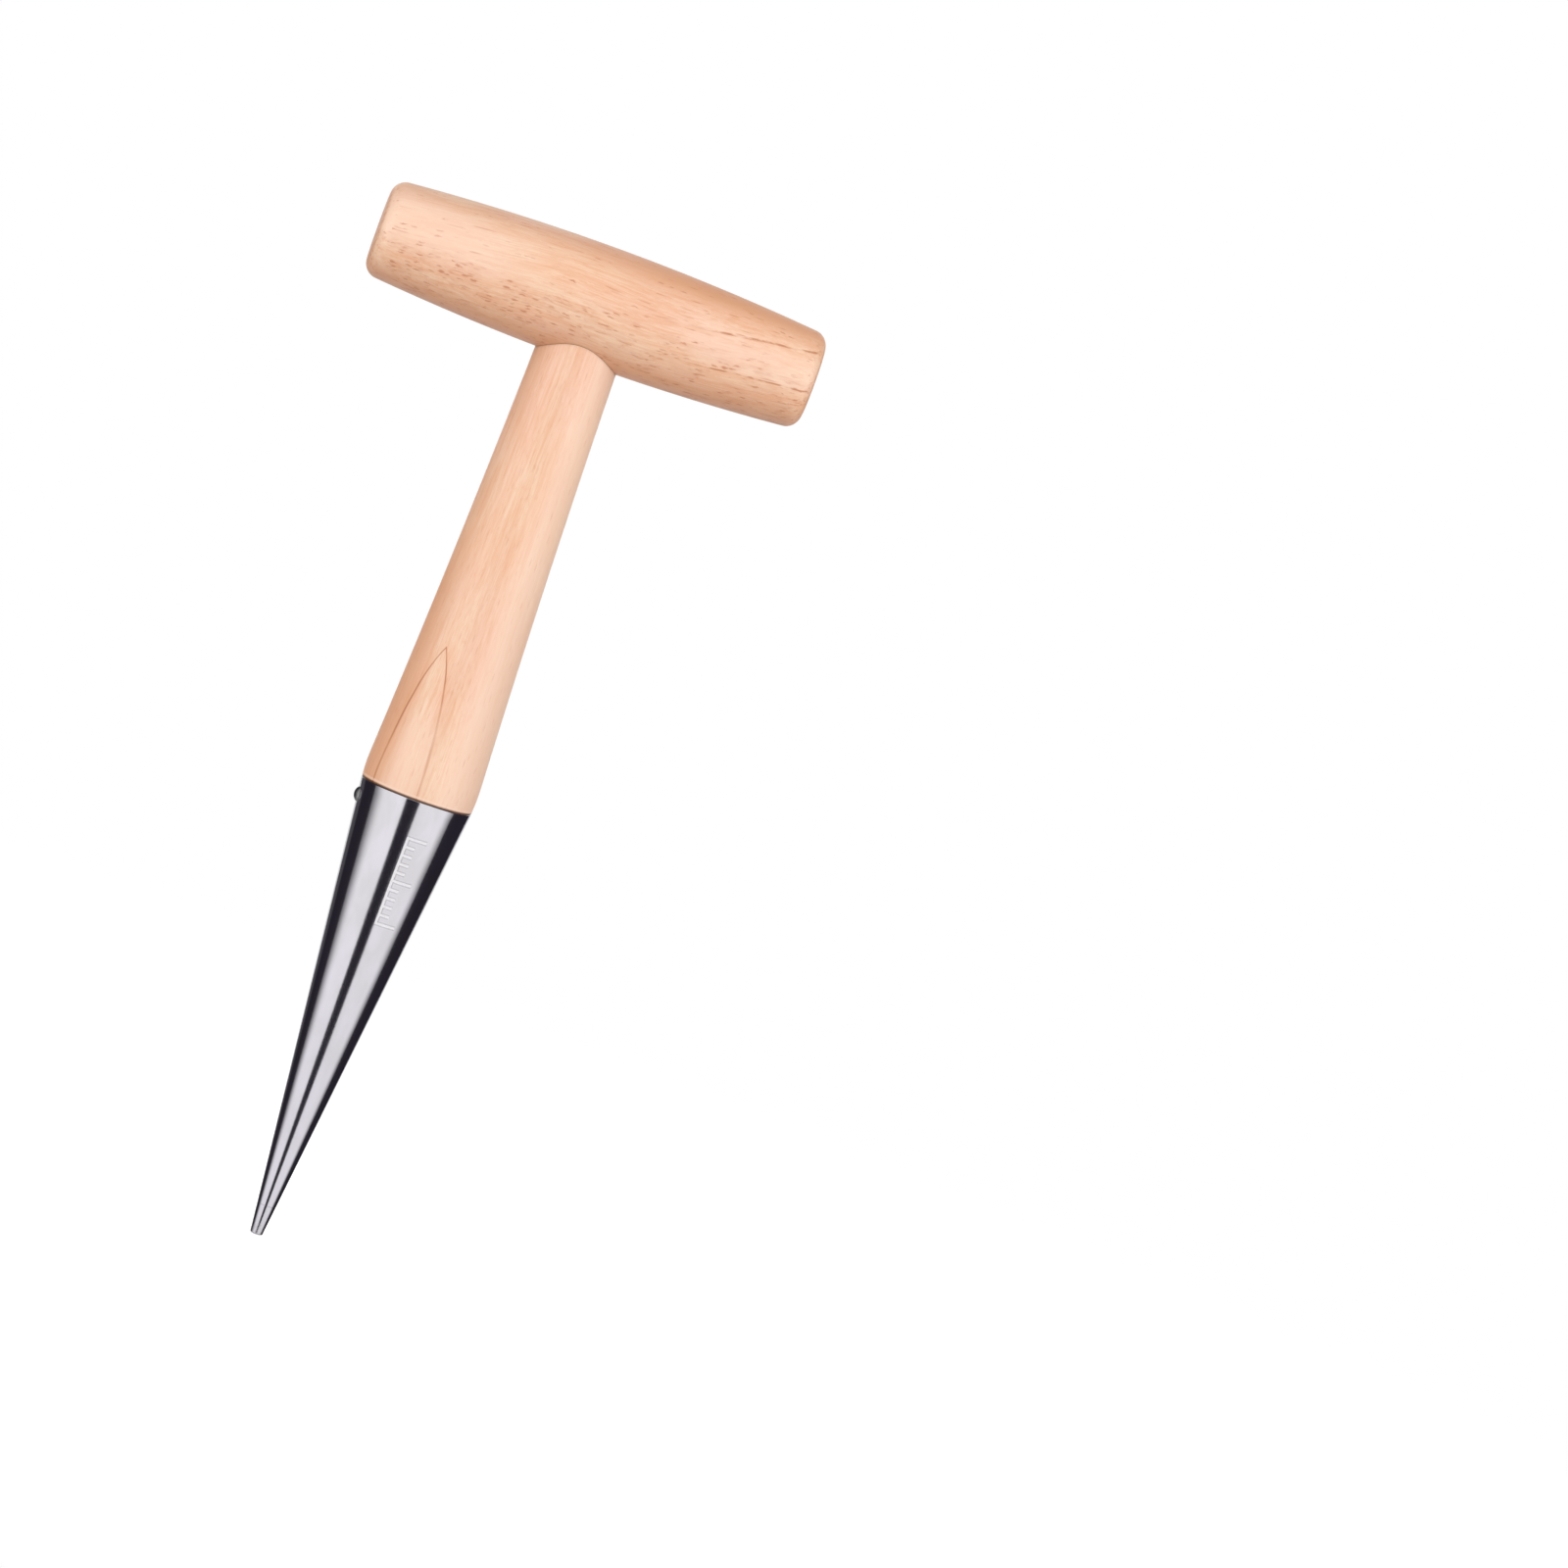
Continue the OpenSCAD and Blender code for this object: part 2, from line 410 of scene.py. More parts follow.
def linear(red, green, blue):
    """An sRGB display colour, 0 to 255, as the linear colour that a shader takes."""
    shares = [v / 255 for v in (red, green, blue)]
    return tuple(s / 12.92 if s <= 0.04045 else ((s + 0.055) / 1.055) ** 2.4 for s in shares) + (1.0,)


class Graph:
    """A material's nodes. Each method adds one node and gives back its output."""

    def __init__(self, name):
        self.material = bpy.data.materials.new(name)
        self.material.use_nodes = True
        self.tree = self.material.node_tree
        self.shader = self.tree.nodes["Principled BSDF"]
        where = self.node("TexCoord")
        self.normal = where.outputs["Normal"]
        self.place = self.vector("SCALE", where.outputs["Object"], scale=1 / MM)

    def node(self, kind, **settings):
        made = self.tree.nodes.new("ShaderNode" + kind)
        for key, value in settings.items():
            setattr(made, key, value)
        return made

    def feed(self, socket, value):
        if isinstance(value, bpy.types.NodeSocket):
            self.tree.links.new(value, socket)
        else:
            socket.default_value = value

    def maths(self, operation, a, b=0.0):
        made = self.node("Math", operation=operation)
        self.feed(made.inputs[0], a)
        self.feed(made.inputs[1], b)
        return made.outputs[0]

    def vector(self, operation, a, b=(0, 0, 0), scale=1.0):
        made = self.node("VectorMath", operation=operation)
        self.feed(made.inputs[0], a)
        self.feed(made.inputs[1], b)
        if operation == "SCALE":
            made.inputs["Scale"].default_value = scale
        return made.outputs["Value" if operation == "LENGTH" else "Vector"]

    def split(self, vector):
        made = self.node("SeparateXYZ")
        self.feed(made.inputs[0], vector)
        return made.outputs[0], made.outputs[1], made.outputs[2]

    def join(self, x, y, z):
        made = self.node("CombineXYZ")
        for socket, value in zip(made.inputs, (x, y, z)):
            self.feed(socket, value)
        return made.outputs[0]

    def noise(self, point, size, detail=2.0, roughness=0.5):
        """Soft noise from 0 to 1, whose lumps have about that size along each axis."""
        made = self.node("TexNoise")
        shrink = tuple(1 / s for s in size)
        self.feed(made.inputs["Vector"], self.vector("MULTIPLY", point, shrink))
        made.inputs["Scale"].default_value = 1.0
        made.inputs["Detail"].default_value = detail
        made.inputs["Roughness"].default_value = roughness
        return made.outputs[0]

    def cells(self, point, size):
        """Distance from the middle of scattered cells of that size, and a random vector for each cell."""
        made = self.node("TexVoronoi")
        shrink = tuple(1 / s for s in size)
        self.feed(made.inputs["Vector"], self.vector("MULTIPLY", point, shrink))
        made.inputs["Scale"].default_value = 1.0
        return made.outputs["Distance"], made.outputs["Color"]

    def step(self, value, start, stop, low=0.0, high=1.0):
        """Rises smoothly from low to high as the value goes from start to stop."""
        made = self.node("MapRange", interpolation_type="SMOOTHSTEP")
        for socket, number in zip(made.inputs, (value, start, stop, low, high)):
            self.feed(socket, number)
        return made.outputs[0]

    def mix(self, share, a, b):
        """Colour a, turned to colour b by that share."""
        made = self.node("Mix", data_type="RGBA")
        self.feed(made.inputs[0], share)
        self.feed(made.inputs[6], a)
        self.feed(made.inputs[7], b)
        return made.outputs[2]

    def times(self, *values):
        """Product of sockets and numbers."""
        result = values[0]
        for value in values[1:]:
            result = self.maths("MULTIPLY", result, value)
        return result

    def total(self, *values):
        """Sum of sockets and numbers."""
        result = values[0]
        for value in values[1:]:
            result = self.maths("ADD", result, value)
        return result

    def paint(self, colour, roughness, height, **constants):
        """Joins colour, roughness and height (in mm) to the shader, and sets its other sockets."""
        bump = self.node("Bump")
        bump.inputs["Strength"].default_value = 1.0
        bump.inputs["Distance"].default_value = MM
        self.feed(bump.inputs["Height"], height)
        self.feed(self.shader.inputs["Normal"], bump.outputs[0])
        self.feed(self.shader.inputs["Base Color"], colour)
        self.feed(self.shader.inputs["Roughness"], roughness)
        for name, value in constants.items():
            self.shader.inputs[name.replace("_", " ").title().replace("Ior", "IOR")].default_value = value
        return self.material


# ---------------------------------------------------------------- wood

PALE = linear(240, 211, 186)
TAN = linear(236, 194, 164)
PINK = linear(239, 199, 180)
# ORANGE is darker wood, and also the colour of the painted shade under the crossbar
ORANGE = linear(225, 168, 128)
LINE = linear(190, 124, 86)
PORE = linear(194, 120, 86)
# BLUSH is pale pink wood, and also the colour of the painted highlight just above the rim
BLUSH = linear(244, 216, 197)
END_GRAIN = linear(214, 166, 132)
# Colour of the painted shade in the joins where the parts meet
JOINT_SHADE = linear(86, 50, 34)
LACQUER = {"coat_weight": 0.18, "coat_roughness": 0.28, "specular_ior_level": 0.5}


def dashes(g, grain, size, share):
    """Short marks along the fibres, where share is how many of the places that could have one do."""
    soft = 0.03
    edge, core = 0.46, 0.16
    faintest = 0.25
    distance, chance = g.cells(grain, size)
    chances = g.split(chance)
    shown = g.step(g.maths("SUBTRACT", share, chances[0]), -soft, soft)
    mark = g.step(distance, edge, core)
    strength = g.step(chances[1], 0, 1, faintest, 1.0)
    return g.times(mark, shown, strength)


def wood_ground(g, grain):
    """Colour of pale wood without rings or pores, and its fibres. grain's third part lies along them."""
    fibre = g.noise(grain, (0.3, 0.3, 8), detail=4, roughness=0.6)
    streak = g.noise(grain, (1.2, 1.2, 30), detail=4, roughness=0.6)
    fleck = g.noise(grain, (0.5, 0.5, 2.0), detail=2)
    patch = g.noise(grain, (6, 6, 26), detail=3)
    broad = g.noise(grain, (14, 14, 50), detail=1)
    colour = g.mix(g.step(patch, 0.35, 0.65), PALE, TAN)
    colour = g.mix(g.step(broad, 0.4, 0.65, 0, 0.6), colour, PINK)
    colour = g.mix(g.step(streak, 0.42, 0.72, 0, 0.5), colour, ORANGE)
    colour = g.mix(g.step(fibre, 0.35, 0.75, 0, 0.5), colour, ORANGE)
    colour = g.mix(g.step(fleck, 0.55, 0.75, 0, 0.4), colour, ORANGE)
    return colour, fibre


def wood_marks(g, colour, fibre, off_line, line_width, line_share, late_share, pore):
    """Adds a growth ring's dark line and the darker wood beside it, where off_line is the distance from
    it in mm, and the pores, where pore is 1. Gives back colour, roughness and height."""
    late_w = 3.2
    late = g.times(g.step(off_line, -late_w, 0.0), g.step(off_line, line_width, 0.0))
    ring_line = g.step(g.maths("ABSOLUTE", off_line), line_width, g.times(line_width, 0.2))
    colour = g.mix(g.times(late, late_share), colour, ORANGE)
    colour = g.mix(g.times(ring_line, line_share), colour, LINE)
    colour = g.mix(pore, colour, PORE)
    roughness = g.total(0.40, g.times(fibre, 0.1), g.times(pore, 0.15))
    height = g.total(g.times(fibre, 0.012), g.times(pore, -0.02), g.times(ring_line, line_share, -0.015))
    return colour, roughness, height


def wavy(g, point, size, amount):
    """A slow sideways drift of the grain, in mm."""
    return g.times(g.maths("SUBTRACT", g.noise(point, size, detail=1), 0.5), amount)


def pointed_line(g, down):
    """Distance in mm to the inside of a ring line that is cut to a pointed arch, on the shaft's front left,
    and the distance to the right of its middle. down is the distance below the arch's peak."""
    x, y, z = g.split(g.place)
    facing = math.radians(-27.8)
    widest = 7.0
    spread = 14.0
    mean_r = 14.4
    filled = g.maths("SUBTRACT", 1.0, g.maths("EXPONENT", g.times(down, -1 / spread)))
    sideways = g.total(g.times(x, math.cos(facing)), g.times(y, math.sin(facing)))
    outward = g.total(g.times(x, math.sin(facing)), g.times(y, -math.cos(facing)))
    away = g.times(g.maths("ARCTAN2", g.maths("ABSOLUTE", sideways), outward), mean_r)
    drift = wavy(g, g.place, (4, 4, 14), 0.5)
    return g.total(g.times(filled, widest), g.times(away, -1.0), drift), sideways


def shaft_tint(g, colour):
    """Redder along the front of the shaft's left edge, and paler at its foot and on its front right. The
    steps' ends are places on X and Z in mm."""
    x, y, z = g.split(g.place)
    front = g.step(y, 6.0, -2.0)
    left_edge = g.times(g.step(x, -7.0, -13.0, 0, 0.6), g.step(z, 205.0, 175.0, 0.25, 1.0))
    pale_foot = g.times(g.step(z, 155.0, 135.0), g.step(x, 4.0, -3.0), g.step(x, -12.0, -8.0), 0.5)
    pale_right = g.step(x, 0.0, 8.0, 0, 0.6)
    colour = g.mix(g.times(left_edge, front), colour, ORANGE)
    colour = g.mix(g.times(pale_foot, front), colour, BLUSH)
    return g.mix(g.times(pale_right, front), colour, BLUSH)


def paint_joint_light(g, colour):
    """Painted shade where the shaft meets rim and crossbar, and a painted highlight just above the rim."""
    x, y, z = g.split(g.place)
    above = g.maths("SUBTRACT", z, rim_h)
    # Painted shade in the groove between the wooden foot and the steel rim
    rim_shade = g.step(above, 0.75, 0.4)
    # Painted highlight on the foot's rounded edge, just above the rim
    foot_highlight = g.times(g.step(above, 0.6, 0.9), g.step(above, 1.5, 1.1))
    from_bar = g.vector("LENGTH", g.join(y, g.maths("SUBTRACT", z, bar_z), 0.0))
    # Painted shade on the shaft just under the crossbar
    bar_shade = g.step(from_bar, bar_r + 0.6, bar_r)
    colour = g.mix(g.times(foot_highlight, 0.6), colour, BLUSH)
    colour = g.mix(g.times(rim_shade, 0.85), colour, JOINT_SHADE)
    return g.mix(g.times(bar_shade, 0.14), colour, JOINT_SHADE)


def shaft_wood():
    """Pale wood with its fibres along Z, and one pointed ring line above the rim on the front left."""
    g = Graph("shaft_wood")
    peak_z = 165.9
    down = g.maths("SUBTRACT", peak_z, g.split(g.place)[2])
    off_line, sideways = pointed_line(g, down)
    line_width = g.step(down, 0.0, 30.0, 0.3, 0.52)
    right_low = g.times(g.step(sideways, 0.0, 1.5), g.step(down, 8.0, 22.0), 0.55)
    uneven = g.step(g.noise(g.place, (5, 5, 12)), 0.3, 0.6, 0.6, 1.0)
    share = g.times(uneven, g.maths("SUBTRACT", 1.0, right_low))
    pore = g.times(dashes(g, g.place, (0.6, 0.6, 4.0), 0.25), 0.22)
    colour, fibre = wood_ground(g, g.place)
    colour = shaft_tint(g, colour)
    colour, roughness, height = wood_marks(
        g, colour, fibre, off_line, line_width, share, g.times(share, 0.3), pore)
    return g.paint(paint_joint_light(g, colour), roughness, height, **LACQUER)


def bar_lines(g, up, level, grain):
    """Distance in mm to the nearest long ring line, and how strongly it shows: only towards the +X end,
    broken, above the underside, and not over the end's corner."""
    x, y, z = g.split(g.place)
    gap = 9.9
    offset = 37.3
    bow_r = 60
    bow = g.times(y, y, 1 / (2 * bow_r))
    turns = g.maths("FRACT", g.maths("DIVIDE", g.total(level, bow, offset), gap))
    off_line = g.times(g.maths("SUBTRACT", turns, 0.5), gap)
    toward_end = g.step(x, 22, 36)
    broken = g.step(g.noise(grain, (1.5, 1.5, 4)), 0.38, 0.6, 0.1, 1.0)
    off_corner = g.step(g.maths("ABSOLUTE", g.split(g.normal)[0]), 0.97, 0.55)
    return off_line, g.times(toward_end, broken, off_corner, g.step(up, -11.0, -8.0), 0.85)


def bar_pores(g, bent, grain, crowded):
    """1 on the crossbar's pores: short ones where they crowd, and long faint ones, more to the right."""
    x, y, z = g.split(g.place)
    low_down, clumps = crowded
    short = dashes(g, g.join(bent, y, x), (0.72, 0.72, 3.2), g.times(low_down, clumps))
    long = dashes(g, grain, (0.6, 0.6, 10.0), g.times(g.step(x, 0, 40, 0.35, 0.6), clumps))
    return g.maths("MAXIMUM", g.times(short, 0.75), g.times(long, 0.5))


def bar_tint(g, colour, up, bent):
    """Fine threads of colour, warmer wood at the top right, a warmer painted shade underneath, and two paler
    places. The steps' ends are places on X and above the crossbar's middle, in mm."""
    x, y, z = g.split(g.place)
    thread = g.noise(g.join(bent, y, x), (0.55, 0.55, 9), detail=3, roughness=0.6)
    colour = g.mix(g.step(thread, 0.52, 0.68, 0, 0.4), colour, ORANGE)
    colour = g.mix(g.step(thread, 0.48, 0.34, 0, 0.4), colour, PALE)
    warm_top = g.times(g.step(x, -30, 30), g.step(up, 8.0, 14.0), 0.95)
    # Painted shade: the wood turns more orange towards and across the crossbar's underside
    low_shade = g.total(g.times(g.step(up, -1.0, -11.0), 0.2), g.times(g.step(up, -9.0, -13.5), 0.6))
    colour = g.mix(g.maths("MAXIMUM", warm_top, low_shade), colour, ORANGE)
    pale_left = g.times(g.step(x, -8.0, -40.0), g.step(up, -6.0, 2.0), g.step(up, 14.0, 8.0), 0.6)
    from_line = g.maths("ABSOLUTE", g.total(up, -1.5))
    pale_right = g.times(g.step(x, 18.0, 34.0), g.step(from_line, 7.0, 3.0), 0.4)
    return g.mix(g.maths("MAXIMUM", pale_left, pale_right), colour, BLUSH)


def end_grain(g, colour, up):
    """Darker wood with growth rings on the crossbar's flat ends."""
    x, y, z = g.split(g.place)
    ring_gap = 2.1
    pith_y, pith_up = -31.0, -24.0
    end = g.step(g.maths("ABSOLUTE", g.split(g.normal)[0]), 0.8, 0.99)
    from_pith = g.vector("LENGTH", g.join(0.0, g.total(y, -pith_y), g.total(up, -pith_up)))
    ring = g.step(g.maths("FRACT", g.times(from_pith, 1 / ring_gap)), 0.3, 1.0)
    colour = g.mix(g.times(end, 0.6), colour, END_GRAIN)
    return g.mix(g.times(end, ring, 0.45), colour, LINE)


def crossbar_wood():
    """The same wood with its fibres along X, marked with short pores, and with long lines at the +X end."""
    g = Graph("crossbar_wood")
    x, y, z = g.split(g.place)
    up = g.maths("SUBTRACT", z, bar_z)
    slope = 0.09
    dip = -3.2
    dip_half = 18.0
    bend = g.total(g.times(x, slope), g.step(x, -dip_half, dip_half, 0.0, dip))
    level = g.total(g.maths("SUBTRACT", up, bend), wavy(g, g.place, (20, 8, 8), 1.0))
    bent = g.total(level, wavy(g, g.place, (1.6, 0.8, 0.8), 1.0))
    grain = g.join(level, y, x)
    low_down = g.step(g.total(up, wavy(g, g.place, (12, 6, 6), 4.0)), 2.5, -2.0, 0.1, 1.0)
    clumps = g.step(g.noise(grain, (2.8, 2.8, 7), detail=3), 0.42, 0.58, 0.1, 1.0)
    off_line, lines = bar_lines(g, up, level, grain)
    pore = bar_pores(g, bent, grain, (low_down, clumps))
    colour, fibre = wood_ground(g, grain)
    colour = bar_tint(g, colour, up, bent)
    colour = g.mix(g.times(low_down, clumps, 0.12), colour, PORE)
    line_width = 0.4
    colour, roughness, height = wood_marks(
        g, colour, fibre, off_line, line_width, lines, g.times(lines, 0.3), pore)
    colour = end_grain(g, colour, up)
    from_axis = g.vector("LENGTH", g.join(x, y, 0.0))
    # Painted shade on the crossbar's underside round the shaft
    shaft_shade = g.times(g.step(from_axis, bore_r + 0.6, bore_r), g.step(up, 0.0, -4.0))
    colour = g.mix(g.times(shaft_shade, 0.14), colour, JOINT_SHADE)
    return g.paint(colour, roughness, height, **LACQUER)


GLUE_DARK = linear(150, 104, 62)
GLUE_LIGHT = linear(186, 140, 92)
GLUE_BUBBLE = linear(214, 180, 136)


def glue_material():
    """Cured wood glue: amber, a little uneven, with small bubbles."""
    g = Graph("cured_glue")
    cloud = g.noise(g.place, (1.2, 1.2, 1.2), detail=3)
    bubble = g.step(g.cells(g.place, (0.7, 0.7, 0.7))[0], 0.25, 0.1)
    colour = g.mix(cloud, GLUE_DARK, GLUE_LIGHT)
    colour = g.mix(g.times(bubble, 0.4), colour, GLUE_BUBBLE)
    roughness = g.total(0.3, g.times(cloud, 0.2))
    height = g.total(g.times(cloud, 0.02), g.times(bubble, 0.02))
    return g.paint(colour, roughness, height)


# ---------------------------------------------------------------- steel

BRIGHT_STEEL = linear(228, 225, 232)
PLAIN_STEEL = linear(219, 217, 220)
LOW_STEEL = linear(198, 194, 206)
WORN_STEEL = linear(186, 184, 184)
WELD_STEEL = linear(176, 170, 164)
# Grey of the painted shadow round the etched marks
ETCH_SHADOW = linear(150, 148, 154)
ETCHING = linear(230, 233, 240)
PIN_DARK = linear(140, 140, 140)
PIN_LIGHT = linear(166, 166, 166)


def steel_figure(g):
    """Colour, roughness and height of polished steel with faint lines along and round it, which is duller
    towards the point."""
    x, y, z = g.split(g.place)
    mean_r = 12.0
    out = g.vector("LENGTH", g.join(x, y, 0.0))
    round_x, round_y = g.maths("DIVIDE", x, out), g.maths("DIVIDE", y, out)
    unrolled = g.join(g.times(round_x, mean_r), g.times(round_y, mean_r), z)
    along = g.noise(unrolled, (0.5, 0.5, 60), detail=3)
    hoop = g.noise(unrolled, (9, 9, 0.22), detail=2)
    cloud = g.noise(g.place, (7, 7, 16), detail=3)
    colour = g.mix(g.step(cloud, 0.35, 0.65), BRIGHT_STEEL, PLAIN_STEEL)
    low_end = g.maths("SUBTRACT", 1.0, g.times(z, 1 / rim_h))
    colour = g.mix(g.step(z, rim_h, 0.0, 0, 0.35), colour, LOW_STEEL)
    roughness = g.total(0.05, g.times(cloud, 0.07), g.times(along, 0.06), g.times(low_end, 0.06))
    height = g.total(g.times(along, 0.0012), g.times(hoop, 0.0005), g.times(cloud, 0.02))
    return colour, roughness, height


def etched_scale(g, half):
    """1 on a plain etched depth scale on the front of the cone: a spine line with long and short ticks,
    each drawn with that half width in mm."""
    x, y, z = g.split(g.place)
    spine_turn = math.radians(5)
    pitch = 2.45
    count = 10
    low = rim_h - 34.6
    high = low + count * pitch
    long_tick = 5.6
    short_tick = 2.8
    soft = 0.06
    out = g.vector("LENGTH", g.join(x, y, 0.0))
    turn = g.maths("ARCTAN2", x, g.maths("MULTIPLY", y, -1.0))
    across = g.times(g.maths("SUBTRACT", turn, spine_turn), out)
    step_at = g.maths("DIVIDE", g.maths("SUBTRACT", z, low), pitch)
    whole = g.maths("ROUND", step_at)
    off = g.times(g.maths("ABSOLUTE", g.maths("SUBTRACT", step_at, whole)), pitch)
    is_short = g.step(g.maths("PINGPONG", whole, 2.5), 0.2, 0.4)
    length = g.total(long_tick, g.times(is_short, short_tick - long_tick))
    reach = g.times(g.step(across, -soft, soft), g.step(g.maths("SUBTRACT", across, length), soft, -soft))
    tick = g.times(g.step(off, half + soft, half - soft), reach)
    spine = g.step(g.maths("ABSOLUTE", across), half + soft, half - soft)
    above_foot = g.step(z, low - half - soft, low - half + soft)
    below_head = g.step(z, high + half + soft, high + half - soft)
    front = g.step(y, 0.0, -1.0)
    return g.times(g.maths("MAXIMUM", tick, spine), above_foot, below_head, front)


def cone_steel():
    """Polished sheet with the etched scale, and a weld line down the back."""
    g = Graph("cone_steel")
    colour, roughness, height = steel_figure(g)
    etched = etched_scale(g, half=0.33)
    # A painted shadow: a grey rim round each etched mark
    etch_shadow = etched_scale(g, half=0.62)
    frost = g.noise(g.place, (0.12, 0.12, 0.12), detail=2)
    colour = g.mix(g.times(etch_shadow, 0.35), colour, ETCH_SHADOW)
    colour = g.mix(etched, colour, ETCHING)
    roughness = g.total(roughness, g.times(etched, 0.4))
    g.feed(g.shader.inputs["Metallic"], g.step(etched, 0.0, 1.0, 1.0, 0.25))
    height = g.total(height, g.times(etched, g.total(-0.012, g.times(frost, 0.01))))
    x, y, z = g.split(g.place)
    turn = g.maths("ARCTAN2", y, x)
    out = g.vector("LENGTH", g.join(x, y, 0.0))
    from_seam = g.times(g.maths("ABSOLUTE", g.maths("SUBTRACT", turn, seam_turn)), out)
    seam_mark = g.step(from_seam, 1.3, 0.3)
    colour = g.mix(g.times(seam_mark, 0.5), colour, WELD_STEEL)
    roughness = g.total(roughness, g.times(seam_mark, 0.15))
    return g.paint(colour, roughness, height)


def tip_steel():
    """The solid point: the same steel, more scuffed towards the end that goes into the ground."""
    worn_len = 6.0
    g = Graph("tip_steel")
    colour, roughness, height = steel_figure(g)
    z = g.split(g.place)[2]
    worn = g.step(z, worn_len, 0.0)
    scuff = g.step(g.noise(g.place, (0.25, 0.25, 1.2), detail=3), 0.45, 0.7)
    colour = g.mix(g.times(worn, scuff, 0.5), colour, WORN_STEEL)
    roughness = g.total(roughness, g.times(worn, 0.1), g.times(worn, scuff, 0.15))
    height = g.total(height, g.times(worn, scuff, -0.008))
    return g.paint(colour, roughness, height, metallic=1.0)


def pin_steel():
    """Darker drawn steel with light hammer marks on the dome."""
    g = Graph("pin_steel")
    dent = g.cells(g.place, (0.9, 0.9, 0.9))[0]
    cloud = g.noise(g.place, (0.6, 0.6, 0.6), detail=3)
    colour = g.mix(cloud, PIN_DARK, PIN_LIGHT)
    roughness = g.total(0.3, g.times(cloud, 0.16))
    height = g.total(g.times(dent, 0.02), g.times(cloud, 0.006))
    return g.paint(colour, roughness, height, metallic=1.0)


# ---------------------------------------------------------------- camera, light and floor

# The camera's direction from the tool and its roll in degrees, its distance in m and its lens in mm, and how
# many metres to the right of and above the tool's middle it looks
CAMERA_TURN = -2.5
CAMERA_RISE = 5.5
CAMERA_ROLL = 20.22
CAMERA_AWAY = 4.0
CAMERA_LENS = 345.6
AIM_RIGHT = 0.09072
AIM_UP = 0.02139

# Distance of every light from the tool's middle, in m
LIGHT_AWAY = 1.0


def toward(turn, rise):
    """Direction from the object, turned from -Y towards +X and raised above the horizon, in degrees."""
    a, e = math.radians(turn), math.radians(rise)
    return Vector((math.sin(a) * math.cos(e), -math.cos(a) * math.cos(e), math.sin(e)))


def make_camera():
    """Looks at a point beside the tool, so that the tool stands left of the picture's centre, leaning."""
    data = bpy.data.cameras.new("camera")
    data.lens = CAMERA_LENS
    data.sensor_width = 36.0
    data.clip_end = 20.0
    camera = bpy.data.objects.new("camera", data)
    bpy.context.scene.collection.objects.link(camera)
    middle = Vector((0, 0, (cad_low.z + cad_high.z) / 2))
    back = toward(CAMERA_TURN, CAMERA_RISE)
    right = (-back).cross(Vector((0, 0, 1))).normalized()
    aim = middle + right * AIM_RIGHT + right.cross(-back) * AIM_UP
    camera.location = middle + back * CAMERA_AWAY
    look = (aim - camera.location).to_track_quat("-Z", "Y")
    camera.rotation_mode = "QUATERNION"
    camera.rotation_quaternion = look @ Matrix.Rotation(math.radians(CAMERA_ROLL), 3, "Z").to_quaternion()
    bpy.context.scene.camera = camera


def softbox(name, turn, rise, width, height, radiance, on_gloss):
    """A rectangular light that faces the tool. It either shows in gloss or lights the matt surfaces."""
    data = bpy.data.lights.new(name, "AREA")
    data.shape = "RECTANGLE"
    data.size, data.size_y = width, height
    data.energy = radiance * math.pi * width * height
    light = bpy.data.objects.new(name, data)
    middle = Vector((0, 0, (cad_low.z + cad_high.z) / 2))
    direction = toward(turn, rise)
    light.location = middle + direction * LIGHT_AWAY
    light.rotation_mode = "QUATERNION"
    light.rotation_quaternion = direction.to_track_quat("Z", "Y")
    light.visible_camera = False
    light.visible_glossy = on_gloss
    light.visible_diffuse = not on_gloss
    bpy.context.scene.collection.objects.link(light)
    return data


def fade_sideways(data, start, stop, low):
    """Dims a light across its width, from full at one share of it to low at another. The shares run from
    0 at the light's edge of smaller turn to 1 at its edge of larger turn."""
    data.use_nodes = True
    tree = data.node_tree
    emission = tree.nodes["Emission"]
    place = tree.nodes.new("ShaderNodeNewGeometry")
    split = tree.nodes.new("ShaderNodeSeparateXYZ")
    ramp = tree.nodes.new("ShaderNodeMapRange")
    ramp.interpolation_type = "SMOOTHSTEP"
    tree.links.new(place.outputs["Parametric"], split.inputs[0])
    tree.links.new(split.outputs[0], ramp.inputs["Value"])
    for name, value in (("From Min", start), ("From Max", stop), ("To Min", 1.0), ("To Max", low)):
        ramp.inputs[name].default_value = value
    tree.links.new(ramp.outputs[0], emission.inputs["Strength"])


def light_span(start, stop):
    """Middle turn and width of a light that fills the directions between two turns from the camera's."""
    return CAMERA_TURN + (start + stop) / 2, 2 * LIGHT_AWAY * math.tan(math.radians((stop - start) / 2))


def side_card(name, start, stop, radiance):
    """An upright reflection card between two turns from the camera's."""
    turn, width = light_span(start, stop)
    return softbox(name, turn, rise=0, width=width, height=2.2, radiance=radiance, on_gloss=True)


def matt_light(name, start, stop, rise, height, radiance):
    """A soft light on the matt surfaces, between two turns from the camera's."""
    turn, width = light_span(start, stop)
    softbox(name, turn, rise, width, height, radiance, on_gloss=False)


